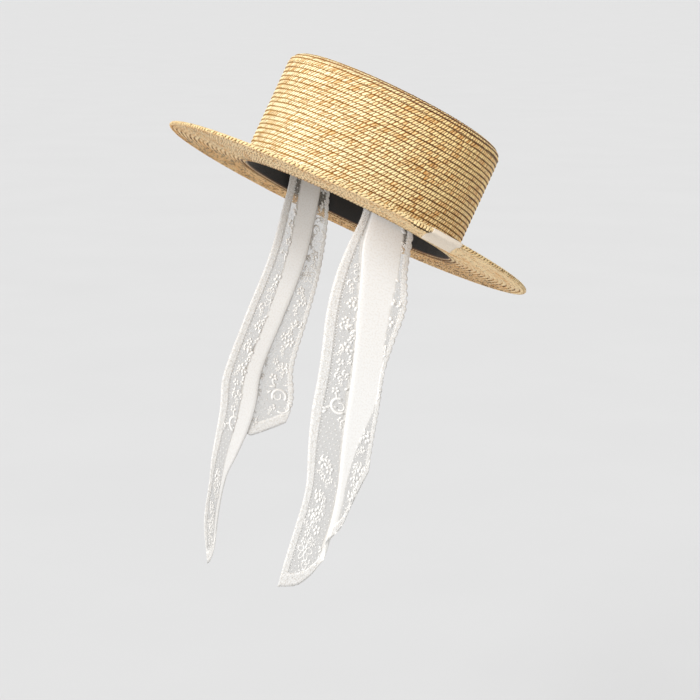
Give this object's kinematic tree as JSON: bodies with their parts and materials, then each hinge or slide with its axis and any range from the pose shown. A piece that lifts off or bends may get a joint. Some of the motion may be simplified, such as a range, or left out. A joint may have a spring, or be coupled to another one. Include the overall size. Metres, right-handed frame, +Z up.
{
  "type": "straw boater hat with lace ties",
  "caption": "Stiff oval straw braid hat with a flat-topped crown, a flat brim, a dark inner band and two long lace ribbons that hang from inside the head opening.",
  "frame": {"origin": "the centre of the head opening, in the plane of the brim's underside, where a head holds the hat", "axes": "+Z is up as worn, -Y is the way the wearer faces, +X is the wearer's left; the hat is tipped back 27.5 degrees about X and the ties hang down"},
  "size_m": [0.3085, 0.3047, 0.4595],
  "materials": {
    "crown_straw": "sewn natural straw braid, low sheen",
    "brim_straw": "sewn natural straw braid, low sheen",
    "braid_end_straw": "natural straw braid, low sheen",
    "tab_cloth": "plain cream woven cotton, matte",
    "band_cloth": "ribbed black ribbon, matte",
    "left_lace": "white cotton lace on fine net",
    "right_lace": "white cotton lace on fine net"
  },
  "bodies": {
    "root": {"crown": "crown_straw", "brim": "brim_straw", "braid_end": "braid_end_straw", "label_tab": "tab_cloth", "sweatband": "band_cloth", "tie_left": "left_lace", "tie_right": "right_lace"}
  },
  "joints": []
}
